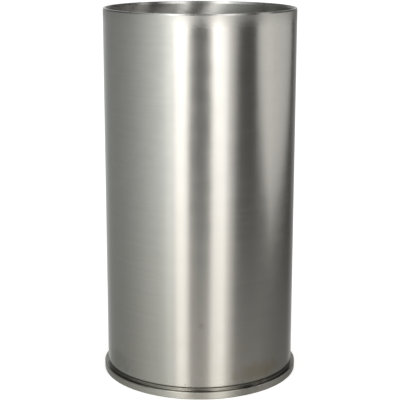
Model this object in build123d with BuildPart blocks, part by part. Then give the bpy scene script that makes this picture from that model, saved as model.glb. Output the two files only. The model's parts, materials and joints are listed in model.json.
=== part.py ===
from build123d import *
from math import sqrt
import os

# Flanged dry cylinder liner for a diesel engine, in millimetres.
# It stands on the gasket face of its flange with the skirt end up, as it is stored on a shelf.
# The origin is the centre of the gasket face, and +Z runs along the bore towards the skirt end.

# Bore and barrel
bore_diameter = 102.0  # honed bore that the piston rings run in
wall = 1.8  # a dry liner is thin, because the block backs it over its whole length
overall_length = 205.3

# Flange, which seats in a counterbore in the top of the block
flange_overhang = 2.05  # how far the rim stands out from the barrel
flange_height = 3.9
flange_edge_chamfer = 0.35

# Relief groove beside the flange, so that the seat reaches the corner of the counterbore
relief_depth = 0.35
relief_width = 2.2
relief_tool_radius = 1.2  # nose radius of the tool, left where it runs out to the barrel
relief_root_radius = 0.4  # radius between the relief floor and the flange seat

# Ends of the bore and the barrel
lead_in_length = 0.8  # taper on the outside of the skirt end, which starts the press fit
lead_in_depth = 0.3
mouth_taper_length = 1.4  # slim taper inside the skirt end, where the hone runs out
mouth_taper_depth = 0.36
bore_chamfer = 0.4  # at the gasket face, where the piston rings enter

# Radii and heights that follow from the sizes
bore_radius = bore_diameter / 2
barrel_radius = bore_radius + wall
flange_radius = barrel_radius + flange_overhang
relief_radius = barrel_radius - relief_depth
relief_top = flange_height + relief_width
relief_run_out = sqrt(relief_depth * (2 * relief_tool_radius - relief_depth))

with BuildPart() as cylinder_liner:
    # Half-section, drawn from the bore at the gasket face round the outside and back
    with BuildSketch(Plane.XZ):
        with BuildLine():
            Polyline(
                (bore_radius, 0),
                (flange_radius, 0),
                (flange_radius, flange_height),
                (relief_radius, flange_height),
                (relief_radius, relief_top - relief_run_out),
            )
            TangentArc(
                (relief_radius, relief_top - relief_run_out),
                (barrel_radius, relief_top),
                tangent=(0, 1),
            )
            Polyline(
                (barrel_radius, relief_top),
                (barrel_radius, overall_length - lead_in_length),
                (barrel_radius - lead_in_depth, overall_length),
                (bore_radius + mouth_taper_depth, overall_length),
                (bore_radius, overall_length - mouth_taper_length),
                (bore_radius, 0),
            )
        make_face()
    revolve(axis=Axis.Z)

    # Root radius where the relief floor turns into the flange seat
    seat_edges = edges().filter_by_position(Axis.Z, flange_height, flange_height)
    fillet(seat_edges.sort_by(SortBy.RADIUS)[0], relief_root_radius)

    # Broken edges of the flange rim, at the seat and at the gasket face
    rim_edges = edges().filter_by(GeomType.CIRCLE).sort_by(SortBy.RADIUS)[-2:]
    chamfer(rim_edges, flange_edge_chamfer)

    # Chamfer at the mouth of the bore in the gasket face
    chamfer(edges().group_by(Axis.Z)[0].sort_by(SortBy.RADIUS)[0], bore_chamfer)

cylinder_liner.part.label = "cylinder_liner"
os.makedirs("parts", exist_ok=True)
export_step(cylinder_liner.part, "parts/cylinder_liner.step")
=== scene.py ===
import json
from math import acos, cos, pi, radians, sin, tan
import bpy
import bmesh
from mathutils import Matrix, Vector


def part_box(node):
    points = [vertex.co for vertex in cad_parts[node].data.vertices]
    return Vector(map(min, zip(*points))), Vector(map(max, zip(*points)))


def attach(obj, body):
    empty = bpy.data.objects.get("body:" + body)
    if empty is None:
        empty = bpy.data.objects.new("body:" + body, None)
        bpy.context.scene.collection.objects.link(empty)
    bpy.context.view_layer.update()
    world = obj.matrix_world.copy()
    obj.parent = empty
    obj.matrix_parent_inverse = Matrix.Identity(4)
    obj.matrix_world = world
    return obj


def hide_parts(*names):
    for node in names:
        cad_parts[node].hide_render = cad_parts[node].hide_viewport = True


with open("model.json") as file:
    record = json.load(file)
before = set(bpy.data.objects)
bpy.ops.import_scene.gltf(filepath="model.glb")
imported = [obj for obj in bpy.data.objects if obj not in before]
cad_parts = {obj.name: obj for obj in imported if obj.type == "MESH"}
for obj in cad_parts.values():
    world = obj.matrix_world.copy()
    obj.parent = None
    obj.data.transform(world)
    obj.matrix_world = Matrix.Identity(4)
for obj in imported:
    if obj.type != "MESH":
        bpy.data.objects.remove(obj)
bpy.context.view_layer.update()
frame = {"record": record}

# A flanged dry cylinder liner, standing on its flange with the skirt end up.
# Metres, +Z up, the camera looks along +Y.

mm = 0.001
mounts = {mount["name"]: mount for mount in frame["record"]["mounts"]}
boreRadius = mounts["cylinder_bore"]["dims"]["r_mm"] * mm
barrelRadius = mounts["barrel_seat"]["dims"]["r_mm"] * mm
rimRadius = mounts["flange_rim"]["dims"]["r_mm"] * mm
seatHeight = mounts["flange_seat"]["pos_m"][2]
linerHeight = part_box("cylinder_liner")[1][2]


def linearColor(code):
    # "#rrggbb" in sRGB to the linear values that a shader takes
    channels = [int(code[i:i + 2], 16) / 255 for i in (1, 3, 5)]
    return [c / 12.92 if c <= 0.04045 else ((c + 0.055) / 1.055) ** 2.4 for c in channels] + [1]


def addNode(tree, kind, values={}, links={}):
    # values are the node's own settings by name, or its inputs by name or number
    node = tree.nodes.new("ShaderNode" + kind)
    for key, value in values.items():
        if isinstance(key, str) and hasattr(node, key):
            setattr(node, key, value)
        else:
            node.inputs[key].default_value = value
    for key, source in links.items():
        tree.links.new(source.outputs[0] if hasattr(source, "outputs") else source, node.inputs[key])
    return node


def newTree(owner):
    owner.use_nodes = True
    owner.node_tree.nodes.clear()
    return owner.node_tree


def objectFromMesh(name, bm, materials):
    mesh = bpy.data.meshes.new(name)
    bm.to_mesh(mesh)
    bm.free()
    for material in materials:
        mesh.materials.append(material)
    thing = bpy.data.objects.new(name, mesh)
    bpy.context.scene.collection.objects.link(thing)
    return thing


# Camera

cameraSetup = {
    "lens": 105.44,       # millimetres, as the sensor is
    "sensor": 36,
    "distance": 0.6438,   # in front of the liner's axis
    "height": 0.2490,
    "tilt": 13.242,       # degrees below level
    "lean": -0.075,       # the photo's camera leaned a little to one side
    "shiftX": -0.0004,
}


def makeCamera(setup):
    data = bpy.data.cameras.new("studioCamera")
    data.lens = setup["lens"]
    data.sensor_width = setup["sensor"]
    data.shift_x = setup["shiftX"]
    camera = bpy.data.objects.new("studioCamera", data)
    camera.location = (0, -setup["distance"], setup["height"])
    camera.rotation_euler = (radians(90 - setup["tilt"]), radians(setup["lean"]), 0)
    bpy.context.scene.collection.objects.link(camera)
    bpy.context.scene.camera = camera


makeCamera(cameraSetup)
print("camera placed")


# Finishes of the iron. Every surface is machined, so its marks run round the axis, or in a helix in the
# bore, and spread each reflection across the marks.

levelMarks = 0.25       # of a turn, which lays the marks level round the axis
noiseLow = 0.3          # nearly all values of a noise texture lie between these two
noiseHigh = 0.7
raggedEdge = {          # how the edges of the spots wander
    "grain": 4 * mm,
    "wander": 1.4,      # this and the next two are shares of a spot's half width
    "outside": 1.2,
    "inside": 0.2,
}

barrelFinish = {
    "color": "#c9c6bf",
    "roughness": 0.25,
    "roughnessRange": 0.02,
    "anisotropy": 0.6,
    "markPitch": 0.9 * mm,      # real grinding lines are 0.03 mm apart, too fine to show
    "markLength": 60 * mm,
    "markContrast": 0.04,
    "cloudSize": 9 * mm,
    "cloudContrast": 0.05,
    "films": {                  # preserving oil that has run down to the flange, and dirt with painted shade at the groove
        "run": {"none": 120 * mm, "full": 0, "color": "#aca390", "share": 0.3},
        # painted shade along the barrel's edge over the groove, with dirt
        "edge": {"none": 6.7 * mm, "full": 6.1 * mm, "color": "#38322a", "share": 0.5},
    },
    "bumpDepth": 0.0006 * mm,
    "rubbedLength": 9 * mm,     # handling has dulled the end that starts into the block
    "rubbedRoughness": 0.16,
    "spots": {                  # azimuths are degrees round the barrel from the camera's side
        "stain": {"azimuth": 38, "height": 11.5 * mm, "width": 36 * mm, "tall": 12 * mm,
                  "color": "#a89d80", "share": 0.5},
        # a darker patch low at the left
        "darkerLowLeft": {"azimuth": -60, "height": 12 * mm, "width": 34 * mm, "tall": 14 * mm,
                  "color": "#8f8b81", "share": 0.3},
        "smudge": {"azimuth": 1, "height": 41 * mm, "width": 3.2 * mm, "tall": 2.6 * mm,
                   "color": "#8f8b81", "share": 0.35},
    },
    "dust": {"spacing": 3.5 * mm, "size": 0.16, "height": 15 * mm, "color": "#5f5b52", "share": 0.7,
             "patchLow": 0.5, "patchHigh": 0.6},
}
boreFinish = {
    "color": "#c2c0ba",
    "roughness": 0.33,
    "roughnessRange": 0.03,
    "anisotropy": 0.85,
    "hatchAngle": 22,           # degrees between the hone's marks and a level ring
    "hatchPitch": 0.8 * mm,     # real plateau honing marks are 0.1 mm apart, too fine to show
    "hatchLength": 50,          # a mark is this many times as long as its pitch
    "hatchContrast": 0.12,
    "deepest": 0.3,             # values of the crossed noises at the deepest marks and at the plateaus
    "plateauShade": 0.55,
    "plateauGloss": 0.6,
    "turnStart": 1.4 * mm,      # where the hone turns back its marks lie flat, then steepen
    "turnDepth": 8 * mm,
    "steepness": 24,            # degrees
    "patchSize": 14 * mm,
    "patchShare": 0.2,
    "bumpDepth": 0.0006 * mm,
}
flangeFinish = {
    "color": "#ccc8be",
    "roughness": 0.34,
    "roughnessRange": 0.05,
    "anisotropy": 0.5,
    "markPitch": 0.7 * mm,      # real turning feed is 0.15 mm, too fine to show
    "markLength": 25 * mm,
    "markContrast": 0.12,
    "cloudSize": 5 * mm,
    "cloudContrast": 0.14,
    "films": {"run": {"none": 6 * mm, "full": 0, "color": "#a39c8b", "share": 0.3}},
    "spots": {                  # lighter at the right of the front
        "lighterFlangeRight": {"azimuth": 46, "height": 2 * mm, "width": 40 * mm, "tall": 16 * mm,
                  "color": "#fffbf0", "share": 0.38},
    },
    "bumpDepth": 0.002 * mm,
}
reliefFinish = {
    "color": "#b4b0a5",
    "roughness": 0.25,
    "roughnessRange": 0.04,
    "anisotropy": 0.5,
    "markPitch": 0.6 * mm,      # real turning feed is 0.15 mm here too
    "markLength": 18 * mm,
    "markContrast": 0.15,
    "cloudSize": 6 * mm,
    "cloudContrast": 0.2,
    "films": {                  # oil and dust with painted shade in the corner, and painted shadow under the barrel's edge
        # painted shade with oil and dust in the corner at the seat
        "corner": {"none": 4.4 * mm, "full": 3.9 * mm, "color": "#38322a", "share": 0.5},
        # painted shadow under the barrel's edge, with oil and dust
        "edge": {"none": 5.3 * mm, "full": 5.8 * mm, "color": "#38322a", "share": 0.85},
    },
    "spots": {                  # darker in the groove at the right
        "darkerGrooveRight": {"azimuth": 56, "height": 5 * mm, "width": 44 * mm, "tall": 16 * mm,
                   "color": "#2e2922", "share": 0.55},
    },
    "bumpDepth": 0.002 * mm,
}
endFinish = {
    "color": "#c6c4bf",
    "roughness": 0.28,
    "roughnessRange": 0.04,
    "anisotropy": 0.7,
    "markPitch": 0.4 * mm,      # real facing feed is 0.1 mm, too fine to show
    "markLength": 30 * mm,
    "markContrast": 0.08,
    "cloudSize": 6 * mm,
    "cloudContrast": 0.06,
    "films": {"run": {"none": 4 * mm, "full": 0, "color": "#aaa491", "share": 0.3}},
    "bumpDepth": 0.001 * mm,
}


def metalOutput(tree, finish, color, roughness, height, rotation=None):
    tangent = addNode(tree, "Tangent", {"direction_type": "RADIAL", "axis": "Z"})
    bump = addNode(tree, "Bump", {"Strength": 1, "Distance": finish["bumpDepth"]}, {"Height": height})
    metal = addNode(tree, "BsdfPrincipled", {
        "Metallic": 1, "Anisotropic": finish["anisotropy"], "Anisotropic Rotation": levelMarks,
    }, {"Base Color": color, "Roughness": roughness, "Normal": bump, "Tangent": tangent})
    if rotation:
        tree.links.new(rotation.outputs[0], metal.inputs["Anisotropic Rotation"])
    addNode(tree, "OutputMaterial", {}, {"Surface": metal})


def machinedIron(name, finish):
    # Turned or ground iron: fine rings round the axis that give a satin, drawn-out highlight, with faint
    # clouds where the finish varies, films and spots of oil that warm and darken it near the flange,
    # patches made lighter or darker, and painted shade at the groove.
    material = bpy.data.materials.new(name)
    tree = newTree(material)
    place = addNode(tree, "TexCoord").outputs["Object"]
    axes = addNode(tree, "SeparateXYZ", {}, {0: place})
    level = addNode(tree, "CombineXYZ", {}, {"X": axes.outputs["X"], "Y": axes.outputs["Y"]})
    radius = addNode(tree, "VectorMath", {"operation": "LENGTH"}, {0: level}).outputs["Value"]

    # rings: the pattern is long round the axis, and short along the surface's own profile
    along = addNode(tree, "Math", {"operation": "ADD"}, {0: axes.outputs["Z"], 1: radius})
    stretch = (1 / finish["markLength"], 1 / finish["markLength"], 1 / finish["markPitch"])
    flat = addNode(tree, "CombineXYZ", {}, {"X": axes.outputs["X"], "Y": axes.outputs["Y"], "Z": along})
    rings = addNode(tree, "VectorMath", {"operation": "MULTIPLY", 1: stretch}, {0: flat})
    marks = addNode(tree, "TexNoise", {"Scale": 1, "Detail": 2, "Roughness": 0.6}, {"Vector": rings})
    clouds = addNode(tree, "TexNoise", {"Scale": 1 / finish["cloudSize"], "Detail": 3, "Roughness": 0.55},
                     {"Vector": place})

    # each film, of oil, or of painted shade with dirt at the groove, grows from one height to another,
    # unevenly, since the clouds are about a half
    color = None
    for film in finish["films"].values():
        share = addNode(tree, "MapRange", {"From Min": film["none"], "From Max": film["full"],
                                           "To Max": 2 * film["share"]}, {"Value": axes.outputs["Z"]})
        share = addNode(tree, "Math", {"operation": "MULTIPLY", "use_clamp": True}, {0: share, 1: clouds})
        filmed = addNode(tree, "Mix", {"data_type": "RGBA", 6: linearColor(finish["color"]),
                                       7: linearColor(film["color"])}, {0: share})
        if color:
            tree.links.new(color, filmed.inputs[6])     # this film lies on the one before
        color = filmed.outputs[2]
    if "spots" in finish:
        ragged = addNode(tree, "TexNoise", {"Scale": 1 / raggedEdge["grain"], "Detail": 3},
                         {"Vector": place})
        for spot in finish["spots"].values():
            color = tonedSpot(tree, place, color, ragged, spot)
    if "dust" in finish:
        color = dustSpecks(tree, place, color, ragged, finish["dust"])
    lineShade = addNode(tree, "MapRange", {"From Min": noiseLow, "From Max": noiseHigh,
                                           "To Min": 1 - finish["markContrast"]}, {"Value": marks})
    cloudShade = addNode(tree, "MapRange", {"From Min": noiseLow, "From Max": noiseHigh,
                                            "To Min": 1 - finish["cloudContrast"]}, {"Value": clouds})
    shade = addNode(tree, "Math", {"operation": "MULTIPLY"}, {0: lineShade, 1: cloudShade})
    shaded = addNode(tree, "VectorMath", {"operation": "SCALE"}, {0: color, "Scale": shade})

    mixed = addNode(tree, "Math", {"operation": "ADD"}, {0: marks, 1: clouds})
    roughness = addNode(tree, "MapRange", {"From Min": 2 * noiseLow, "From Max": 2 * noiseHigh,
                                           "To Min": finish["roughness"] - finish["roughnessRange"],
                                           "To Max": finish["roughness"] + finish["roughnessRange"]},
                        {"Value": mixed})
    if "rubbedLength" in finish:
        rubbed = addNode(tree, "MapRange", {"interpolation_type": "SMOOTHSTEP",
                                            "From Min": linerHeight - finish["rubbedLength"],
                                            "From Max": linerHeight, "To Max": finish["rubbedRoughness"]},
                         {"Value": axes.outputs["Z"]})
        roughness = addNode(tree, "Math", {"operation": "ADD"}, {0: roughness, 1: rubbed})
    metalOutput(tree, finish, shaded, roughness, marks)
    return material


def tonedSpot(tree, place, color, ragged, spot):
    # a stain, a smudge, or a patch made lighter or darker: an ellipsoid round a point of the surface, with
    # a ragged edge
    turn = radians(spot["azimuth"])
    centre = (sin(turn) * barrelRadius, -cos(turn) * barrelRadius, spot["height"])
    offset = addNode(tree, "VectorMath", {"operation": "SUBTRACT", 1: centre}, {0: place})
    size = (2 / spot["width"], 2 / spot["width"], 2 / spot["tall"])
    offset = addNode(tree, "VectorMath", {"operation": "MULTIPLY", 1: size}, {0: offset})
    away = addNode(tree, "VectorMath", {"operation": "LENGTH"}, {0: offset}).outputs["Value"]
    wander = addNode(tree, "Math", {"operation": "MULTIPLY_ADD", 1: raggedEdge["wander"],
                                    2: -raggedEdge["wander"] / 2}, {0: ragged})
    away = addNode(tree, "Math", {"operation": "ADD"}, {0: away, 1: wander})
    share = addNode(tree, "MapRange", {"interpolation_type": "SMOOTHSTEP",
                                       "From Min": raggedEdge["outside"], "From Max": raggedEdge["inside"],
                                       "To Max": spot["share"]}, {"Value": away})
    return addNode(tree, "Mix", {"data_type": "RGBA", 7: linearColor(spot["color"])},
                   {0: share, 6: color}).outputs[2]


def dustSpecks(tree, place, color, ragged, dust):
    # specks of dust that the oil film holds, in patches near the relief
    cells = addNode(tree, "TexVoronoi", {"Scale": 1 / dust["spacing"]}, {"Vector": place})
    speck = addNode(tree, "MapRange", {"From Min": dust["size"], "From Max": dust["size"] / 2},
                    {"Value": cells.outputs["Distance"]})
    heights = addNode(tree, "SeparateXYZ", {}, {0: place})
    low = addNode(tree, "MapRange", {"From Min": dust["height"], "From Max": dust["height"] / 2,
                                     "To Max": dust["share"]}, {"Value": heights.outputs["Z"]})
    patch = addNode(tree, "MapRange", {"From Min": dust["patchLow"], "From Max": dust["patchHigh"]},
                    {"Value": ragged})
    share = addNode(tree, "Math", {"operation": "MULTIPLY"}, {0: speck, 1: low})
    share = addNode(tree, "Math", {"operation": "MULTIPLY"}, {0: share, 1: patch})
    return addNode(tree, "Mix", {"data_type": "RGBA", 7: linearColor(dust["color"])},
                   {0: share, 6: color}).outputs[2]


def honedIron(name, finish):
    # Plateau-honed iron: two crossing helices of scratches give a darker, silkier surface than the
    # barrel's, whose highlights slant with whichever helix is deeper there.
    material = bpy.data.materials.new(name)
    tree = newTree(material)
    place = addNode(tree, "TexCoord").outputs["Object"]
    axes = addNode(tree, "SeparateXYZ", {}, {0: place})
    hatchAngle = radians(finish["hatchAngle"])
    twist = 1 / (boreRadius * tan(hatchAngle))      # turn of the hone for each metre it travels
    helices = []
    for way in (-1, 1):
        angle = addNode(tree, "Math", {"operation": "MULTIPLY", 1: way * twist}, {0: axes.outputs["Z"]})
        turned = addNode(tree, "VectorRotate", {"rotation_type": "Z_AXIS"},
                         {"Vector": place, "Angle": angle})
        flat = addNode(tree, "VectorMath", {"operation": "MULTIPLY", 1: (1, 1, 1 / finish["hatchLength"])},
                       {0: turned})
        helices.append(addNode(tree, "TexNoise", {"Scale": sin(hatchAngle) / finish["hatchPitch"],
                                                  "Detail": 2, "Roughness": 0.6}, {"Vector": flat}))
    # one helix is the deeper one, apart from patches where they come out even
    patches = addNode(tree, "TexNoise", {"Scale": 1 / finish["patchSize"], "Detail": 1}, {"Vector": place})
    lean = addNode(tree, "MapRange", {"From Min": noiseLow, "From Max": noiseHigh,
                                      "To Min": 1 - finish["patchShare"],
                                      "To Max": 1 + finish["patchShare"]}, {"Value": patches})
    steep = addNode(tree, "MapRange", {"From Min": linerHeight - finish["turnStart"],
                                       "From Max": linerHeight - finish["turnDepth"],
                                       "To Max": finish["steepness"] / 360}, {"Value": axes.outputs["Z"]})
    turned = addNode(tree, "Math", {"operation": "MULTIPLY"}, {0: steep, 1: lean})
    rotation = addNode(tree, "Math", {"operation": "ADD", 1: levelMarks}, {0: turned})
    crossed = addNode(tree, "Math", {"operation": "MINIMUM"}, {0: helices[0], 1: helices[1]})
    shade = addNode(tree, "MapRange", {"From Min": finish["deepest"], "From Max": finish["plateauShade"],
                                       "To Min": 1 - finish["hatchContrast"]}, {"Value": crossed})
    color = addNode(tree, "VectorMath", {"operation": "SCALE", 0: linearColor(finish["color"])[:3]},
                    {"Scale": shade})
    roughness = addNode(tree, "MapRange", {"From Min": finish["deepest"],
                                           "From Max": finish["plateauGloss"],
                                           "To Min": finish["roughness"] + finish["roughnessRange"],
                                           "To Max": finish["roughness"] - finish["roughnessRange"]},
                        {"Value": crossed})
    metalOutput(tree, finish, color, roughness, crossed, rotation)
    return material


# Liner

linerForm = {
    "steps": 288,                 # facets round the liner
    "reliefDepth": 0.35 * mm,
    "reliefWidth": 2.2 * mm,
    "noseRadius": 1.2 * mm,       # tool nose at the top of the relief
    "noseSteps": 8,
    "rootRadius": 0.4 * mm,
    "rootSegments": 10,
    "leadInLength": 0.8 * mm,
    "leadInDepth": 0.3 * mm,
    "taperLength": 1.4 * mm,      # inside the skirt end
    "taperDepth": 0.36 * mm,
    "boreChamfer": 0.4 * mm,      # at the gasket face
    "rimChamfer": 0.35 * mm,
    "landEdge": 0.08 * mm,        # worn corners of the land at the skirt end
    "landSegments": 2,
    "ringSpacing": 10 * mm,       # between the cuts along the barrel
    "sharpAngle": 10,             # degrees
}
near = 0.01 * mm                  # heights or radii closer than this are the same
mergeDistance = 0.001 * mm


def ringEdges(bm, radius, height):
    found = []
    for edge in bm.edges:
        ends = [vert.co for vert in edge.verts]
        if all(abs(co.xy.length - radius) < near and abs(co.z - height) < near for co in ends):
            found.append(edge)
    return found


def bevelRing(bm, radius, height, width, segments):
    bmesh.ops.bevel(bm, geom=ringEdges(bm, radius, height), offset=width, offset_type="OFFSET",
                    affect="EDGES", segments=segments, profile=0.5, material=-1)


def makeLiner(form, finishes):
    bm = bmesh.new()
    reliefRadius = barrelRadius - form["reliefDepth"]
    reliefTop = seatHeight + form["reliefWidth"]
    noseAngle = acos(1 - form["reliefDepth"] / form["noseRadius"])
    riseHeight = reliefTop - form["noseRadius"] * sin(noseAngle)
    landOuter = barrelRadius - form["leadInDepth"]
    landInner = boreRadius + form["taperDepth"]

    # half-section, from the bore's edge at the gasket face out round the flange
    corners = [
        (boreRadius, 0),
        (rimRadius, 0),
        (rimRadius, seatHeight),
        (reliefRadius, seatHeight),
        (reliefRadius, riseHeight),
    ]
    outline = [bm.verts.new((x, 0, z)) for x, z in corners]
    # the tool nose leaves an arc between the relief and the barrel
    nose = bmesh.ops.spin(bm, geom=[outline[-1]], cent=(reliefRadius + form["noseRadius"], 0, riseHeight),
                          axis=(0, 1, 0), angle=noseAngle, steps=form["noseSteps"])
    noseEnd = [item for item in nose["geom_last"] if isinstance(item, bmesh.types.BMVert)]
    skirt = [
        (barrelRadius, linerHeight - form["leadInLength"]),
        (landOuter, linerHeight),
        (landInner, linerHeight),
        (boreRadius, linerHeight - form["taperLength"]),
    ]
    upper = noseEnd + [bm.verts.new((x, 0, z)) for x, z in skirt] + [outline[0]]
    for chain in (outline, upper):
        for a, b in zip(chain, chain[1:]):
            bm.edges.new((a, b))

    bmesh.ops.spin(bm, geom=bm.verts[:] + bm.edges[:], cent=(0, 0, 0), axis=(0, 0, 1),
                   angle=2 * pi, steps=form["steps"], use_merge=True)
    bmesh.ops.remove_doubles(bm, verts=bm.verts[:], dist=mergeDistance)

    bevelRing(bm, reliefRadius, seatHeight, form["rootRadius"], form["rootSegments"])
    bevelRing(bm, rimRadius, 0, form["rimChamfer"], 1)
    bevelRing(bm, rimRadius, seatHeight, form["rimChamfer"], 1)
    bevelRing(bm, boreRadius, 0, form["boreChamfer"], 1)
    for radius in (landOuter, landInner):
        bevelRing(bm, radius, linerHeight, form["landEdge"], form["landSegments"])

    for count in range(1, int(linerHeight / form["ringSpacing"]) + 1):
        bmesh.ops.bisect_plane(bm, geom=bm.verts[:] + bm.edges[:] + bm.faces[:], dist=mergeDistance,
                               plane_co=(0, 0, count * form["ringSpacing"]), plane_no=(0, 0, 1))
    bmesh.ops.recalc_face_normals(bm, faces=bm.faces[:])

    zones = ("barrel", "bore", "flange", "relief", "ends")
    for face in bm.faces:
        middle = face.calc_center_median()
        reach = middle.xy.length
        zone = "barrel"
        if reach < boreRadius + near:
            zone = "bore"
        elif middle.z < seatHeight - near:
            zone = "flange"
        elif middle.z < reliefTop:
            zone = "relief"
        elif middle.z > linerHeight - form["leadInLength"] or reach < landInner:
            zone = "ends"
        face.smooth = True
        face.material_index = zones.index(zone)
    liner = objectFromMesh("machinedLiner", bm, [finishes[zone] for zone in zones])
    liner.data.set_sharp_from_angle(angle=radians(form["sharpAngle"]))
    return liner


ironFinishes = {
    "barrel": machinedIron("groundIron", barrelFinish),
    "bore": honedIron("honedIron", boreFinish),
    "flange": machinedIron("turnedIron", flangeFinish),
    "relief": machinedIron("turnedIronOilAndPaintedShade", reliefFinish),
    "ends": machinedIron("facedIron", endFinish),
}
liner = makeLiner(linerForm, ironFinishes)
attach(liner, "root")
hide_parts("cylinder_liner")
print("liner made,", len(liner.data.polygons), "faces")


# Floor, world and lamps

studio = {
    "floorRadius": 9.0,
    "floorSides": 96,
    "floorColor": "#f4f4f2",
    "floorGlow": 0.45,     # added to the lit paper, so that it looks white
    "fill": 0.75,          # the world's light on the floor
    "white": 1.0,          # what the camera sees of the background
}


def backgroundRays(tree):
    rays = addNode(tree, "LightPath")
    seen = addNode(tree, "Math", {"operation": "MAXIMUM"},
                   {0: rays.outputs["Is Camera Ray"], 1: rays.outputs["Is Glossy Ray"]})
    return addNode(tree, "Math", {"operation": "MAXIMUM"},
                   {0: seen, 1: rays.outputs["Is Transmission Ray"]})


def makeWorld(setup):
    world = bpy.data.worlds.new("whiteStudio")
    bpy.context.scene.world = world
    tree = newTree(world)
    level = addNode(tree, "MapRange", {"To Min": setup["fill"], "To Max": setup["white"]},
                    {"Value": backgroundRays(tree)})
    light = addNode(tree, "Background", {"Color": (1, 1, 1, 1)}, {"Strength": level})
    addNode(tree, "OutputWorld", {}, {"Surface": light})


def makeFloor(setup):
    material = bpy.data.materials.new("whitePaper")
    tree = newTree(material)
    paper = addNode(tree, "BsdfDiffuse", {"Color": linearColor(setup["floorColor"])})
    lift = addNode(tree, "Math", {"operation": "MULTIPLY", 1: setup["floorGlow"]},
                   {0: backgroundRays(tree)})
    glow = addNode(tree, "Emission", {"Color": (1, 1, 1, 1)}, {"Strength": lift})
    both = addNode(tree, "AddShader", {}, {0: paper, 1: glow})
    addNode(tree, "OutputMaterial", {}, {"Surface": both})
    bm = bmesh.new()
    bmesh.ops.create_circle(bm, cap_ends=True, segments=setup["floorSides"],
                            radius=setup["floorRadius"])
    floor = objectFromMesh("paperFloor", bm, [material])
    floor.visible_glossy = False      # the iron mirrors the lower half of the tent instead


lamps = {                  # tall soft boxes at both sides of the camera
    "keyLeft": {"azimuth": -25, "distance": 1.1, "bottom": 0.0, "top": 0.85, "width": 0.36,
                "radiance": 2.8},
    "keyRight": {"azimuth": 26, "distance": 1.1, "bottom": 0.0, "top": 0.85, "width": 0.42,
                 "radiance": 2.8},
}


def makeLamp(name, setup):
    data = bpy.data.lights.new(name, "AREA")
    data.shape = "RECTANGLE"
    data.size = setup["width"]
    data.size_y = setup["top"] - setup["bottom"]
    data.energy = setup["radiance"] * pi * data.size * data.size_y
    lamp = bpy.data.objects.new(name, data)
    turn = radians(setup["azimuth"])
    lamp.location = (sin(turn) * setup["distance"], -cos(turn) * setup["distance"],
                     (setup["top"] + setup["bottom"]) / 2)
    lamp.rotation_euler = (radians(90), 0, turn)
    lamp.visible_glossy = False       # its soft front is part of the tent
    bpy.context.scene.collection.objects.link(lamp)


# The tent of cloth round the set is what the bare iron mirrors, and its lower half is what a pale table
# mirrors of it. Each window, shade or glow is given by its middle and half width in degrees, across from
# the camera's side or up from level, with a soft edge. Levels are shares of white.
tent = {
    "radius": 2.0,
    "sides": 48,
    "rings": 24,
    "base": 0.06,
    "fade": {"low": -24, "high": -4, "lowGain": 0.70, "highGain": 1.12},      # the table mirrors less
    "foot": {"low": -50, "high": -26, "share": 0.2},      # where the liner darkens its own mirror image
    "heights": {"low": -40, "high": 60},      # where a window has its low and its high share of its width
    "side": {"back": -130, "front": -31, "level": 0.26, "rise": 0.90, "power": 2.3, "soft": 3,
             "color": "#faffff"},       # daylight from the left is a little cooler
    "windows": {
        "keyLeft": {"middle": -21.7, "half": 8.0, "soft": 4, "level": 1.70, "low": 0.95, "high": 1.6},
        "keyLeftHood": {"middle": -34, "half": 6, "soft": 5, "level": 0.22, "low": 1.0, "high": 1.6},
        "keyRight": {"middle": 22.7, "half": 9.1, "soft": 5, "level": 1.54, "low": 0.83, "high": 1.6},
        "keyRightHood": {"middle": 35.5, "half": 6.5, "soft": 10, "level": 0.80, "low": 0.80,
                         "high": 1.6},
        "front": {"middle": 0, "half": 14, "soft": 4, "level": 0.13, "low": 0.9, "high": 1.6},
    },
    "shades": {        # the camera's opening, a lamp's hood, and where the cloth or the table is dimmer
        "camera": {"across": {"middle": 0.5, "half": 14, "soft": 5},
                   "up": {"middle": -3, "half": 7, "soft": 8}, "share": 0.5},
        "hoodRight": {"across": {"middle": 39, "half": 15, "soft": 4},
                      "up": {"middle": 15, "half": 6, "soft": 4}, "share": 0.75},
        "highLeft": {"across": {"middle": -118, "half": 42, "soft": 30},
                     "up": {"middle": 45, "half": 34, "soft": 16}, "share": 0.62},
        "tableLeft": {"across": {"middle": -45, "half": 14, "soft": 16},
                      "up": {"middle": -34, "half": 22, "soft": 8}, "share": 0.1},
    },
    "glows": {         # the lit table, the fronts of the lamps and the backdrop
        "table": {"across": {"middle": 47.5, "half": 52.5, "soft": 80},
                  "up": {"middle": -40, "half": 24, "soft": 10}, "level": 0.35},
        "farTable": {"across": {"middle": 140, "half": 30, "soft": 50},
                     "up": {"middle": -40, "half": 24, "soft": 10}, "level": 0.15},
        "nearTable": {"across": {"middle": 0, "half": 14, "soft": 6},
                      "up": {"middle": -40, "half": 27, "soft": 8}, "level": 0.27},
        "lampLeftLow": {"across": {"middle": -22.5, "half": 5.5, "soft": 4},
                        "up": {"middle": -34, "half": 21, "soft": 10}, "level": 0.24},
        "lampLeft": {"across": {"middle": -17.5, "half": 8.5, "soft": 5},
                     "up": {"middle": 12, "half": 6, "soft": 4}, "level": 4.0},
        "lampRight": {"across": {"middle": 18, "half": 6.5, "soft": 5},
                      "up": {"middle": 12, "half": 6, "soft": 4}, "level": 4.4},
        "backdropLeft": {"across": {"middle": -180, "half": 22, "soft": 45},
                         "up": {"middle": 0, "half": 60, "soft": 20}, "level": 0.5},
        "backdropRight": {"across": {"middle": 180, "half": 22, "soft": 45},
                          "up": {"middle": 8, "half": 34, "soft": 14}, "level": 0.6},
    },
}
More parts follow.
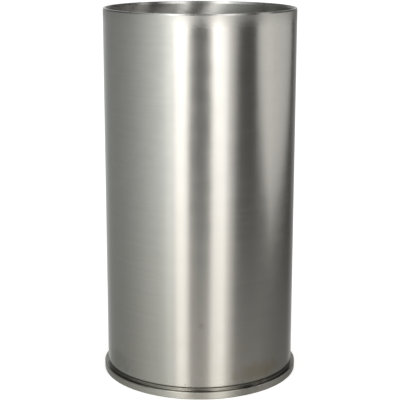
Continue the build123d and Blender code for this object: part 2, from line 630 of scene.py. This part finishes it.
# White cards to the right, given by the floor plan of their foot. Their light goes from one level to
# another along y.
fillCards = {
    "nearCard": {"foot": ((1.46, -0.568), (0.42, -0.008)), "height": 0.55,
                 "levels": {"from": -0.57, "to": -0.01, "low": 0.92, "high": 0.95}},
    "farCard": {"foot": ((0.42, -0.008), (0.95, 0.963)), "height": 0.28,
                "levels": {"from": 0.70, "to": -0.01, "low": 0.53, "high": 0.86}},
}


def hideFromAllButMetal(thing):
    thing.visible_camera = False
    thing.visible_diffuse = False
    thing.visible_shadow = False
    thing.visible_transmission = False
    thing.visible_volume_scatter = False


def windowShare(tree, angle, window):
    away = addNode(tree, "Math", {"operation": "SUBTRACT", 1: window["middle"]}, {0: angle})
    away = addNode(tree, "Math", {"operation": "ABSOLUTE"}, {0: away})
    return addNode(tree, "MapRange", {"interpolation_type": "SMOOTHSTEP",
                                      "From Min": window["half"] + window["soft"] / 2,
                                      "From Max": window["half"] - window["soft"] / 2}, {"Value": away})


def patchShare(tree, azimuth, height, patch):
    return addNode(tree, "Math", {"operation": "MULTIPLY"}, {
        0: windowShare(tree, azimuth, patch["across"]),
        1: windowShare(tree, height, patch["up"]),
    })


def tentCloth(setup):
    material = bpy.data.materials.new("tentCloth")
    tree = newTree(material)
    place = addNode(tree, "VectorMath", {"operation": "NORMALIZE"},
                    {0: addNode(tree, "TexCoord").outputs["Object"]})
    axes = addNode(tree, "SeparateXYZ", {}, {0: place})
    ahead = addNode(tree, "Math", {"operation": "MULTIPLY", 1: -1}, {0: axes.outputs["Y"]})
    turn = addNode(tree, "Math", {"operation": "ARCTAN2"}, {0: axes.outputs["X"], 1: ahead})
    azimuth = addNode(tree, "Math", {"operation": "DEGREES"}, {0: turn})
    rise = addNode(tree, "Math", {"operation": "ARCSINE"}, {0: axes.outputs["Z"]})
    height = addNode(tree, "Math", {"operation": "DEGREES"}, {0: rise})

    side = setup["side"]
    climb = addNode(tree, "MapRange", {"From Min": side["back"], "From Max": side["front"]},
                    {"Value": azimuth})
    curve = addNode(tree, "Math", {"operation": "POWER", 1: side["power"]}, {0: climb})
    edge = addNode(tree, "MapRange", {"From Min": side["front"] + side["soft"],
                                      "From Max": side["front"] - side["soft"]}, {"Value": azimuth})
    rising = addNode(tree, "Math", {"operation": "MULTIPLY"}, {0: curve, 1: edge})
    lights = addNode(tree, "Math", {"operation": "MULTIPLY", 1: side["rise"]}, {0: rising})
    heights = setup["heights"]
    for window in setup["windows"].values():
        # the lights lean, so they look wider the higher they are
        above = addNode(tree, "MapRange", {"From Max": heights["high"], "To Min": 1,
                                           "To Max": window["high"]}, {"Value": height})
        below = addNode(tree, "MapRange", {"From Max": heights["low"], "To Min": 1,
                                           "To Max": window["low"]}, {"Value": height})
        width = addNode(tree, "Math", {"operation": "MULTIPLY"}, {0: above, 1: below})
        leaned = addNode(tree, "Math", {"operation": "DIVIDE"}, {0: azimuth, 1: width})
        share = windowShare(tree, leaned, window)
        lights = addNode(tree, "Math", {"operation": "MULTIPLY_ADD", 1: window["level"]},
                         {0: share, 2: lights})
    fade = setup["fade"]
    gain = addNode(tree, "MapRange", {"From Min": fade["low"], "From Max": fade["high"],
                                      "To Min": fade["lowGain"], "To Max": fade["highGain"]},
                   {"Value": height})
    lights = addNode(tree, "Math", {"operation": "MULTIPLY"}, {0: lights, 1: gain})
    total = addNode(tree, "Math", {"operation": "MULTIPLY_ADD", 1: side["level"]}, {0: edge, 2: lights})
    foot = setup["foot"]
    shadow = addNode(tree, "MapRange", {"From Min": foot["low"], "From Max": foot["high"],
                                        "To Min": foot["share"]}, {"Value": height})
    total = addNode(tree, "Math", {"operation": "MULTIPLY_ADD", 2: setup["base"]}, {0: total, 1: shadow})
    for shade in setup["shades"].values():
        share = patchShare(tree, azimuth, height, shade)
        kept = addNode(tree, "Math", {"operation": "MULTIPLY_ADD", 1: -shade["share"], 2: 1}, {0: share})
        total = addNode(tree, "Math", {"operation": "MULTIPLY"}, {0: total, 1: kept})
    for glow in setup["glows"].values():
        share = patchShare(tree, azimuth, height, glow)
        total = addNode(tree, "Math", {"operation": "MULTIPLY_ADD", 1: glow["level"]}, {0: share, 2: total})
    color = addNode(tree, "Mix", {"data_type": "RGBA", 6: (1, 1, 1, 1), 7: linearColor(side["color"])},
                    {0: edge}).outputs[2]
    light = addNode(tree, "Emission", {}, {"Color": color, "Strength": total})
    addNode(tree, "OutputMaterial", {}, {"Surface": light})
    return material


def makeTent(setup):
    bm = bmesh.new()
    bmesh.ops.create_uvsphere(bm, u_segments=setup["sides"], v_segments=setup["rings"],
                               radius=setup["radius"])
    hideFromAllButMetal(objectFromMesh("reflectionTent", bm, [tentCloth(setup)]))


def makeFillCard(name, setup):
    material = bpy.data.materials.new(name)
    tree = newTree(material)
    axes = addNode(tree, "SeparateXYZ", {}, {0: addNode(tree, "TexCoord").outputs["Object"]})
    levels = setup["levels"]
    level = addNode(tree, "MapRange", {"From Min": levels["from"], "From Max": levels["to"],
                                       "To Min": levels["low"], "To Max": levels["high"]},
                    {"Value": axes.outputs["Y"]})
    light = addNode(tree, "Emission", {"Color": (1, 1, 1, 1)}, {"Strength": level})
    addNode(tree, "OutputMaterial", {}, {"Surface": light})
    bm = bmesh.new()
    edge = bm.edges.new([bm.verts.new((*corner, 0)) for corner in setup["foot"]])
    top = bmesh.ops.extrude_edge_only(bm, edges=[edge])
    bmesh.ops.translate(bm, verts=[v for v in top["geom"] if isinstance(v, bmesh.types.BMVert)],
                        vec=(0, 0, setup["height"]))
    hideFromAllButMetal(objectFromMesh(name, bm, [material]))


makeWorld(studio)
makeFloor(studio)
for name, setup in lamps.items():
    makeLamp(name, setup)
makeTent(tent)
for name, card in fillCards.items():
    makeFillCard(name, card)
bpy.context.scene.view_settings.view_transform = "Standard"
print("studio made")
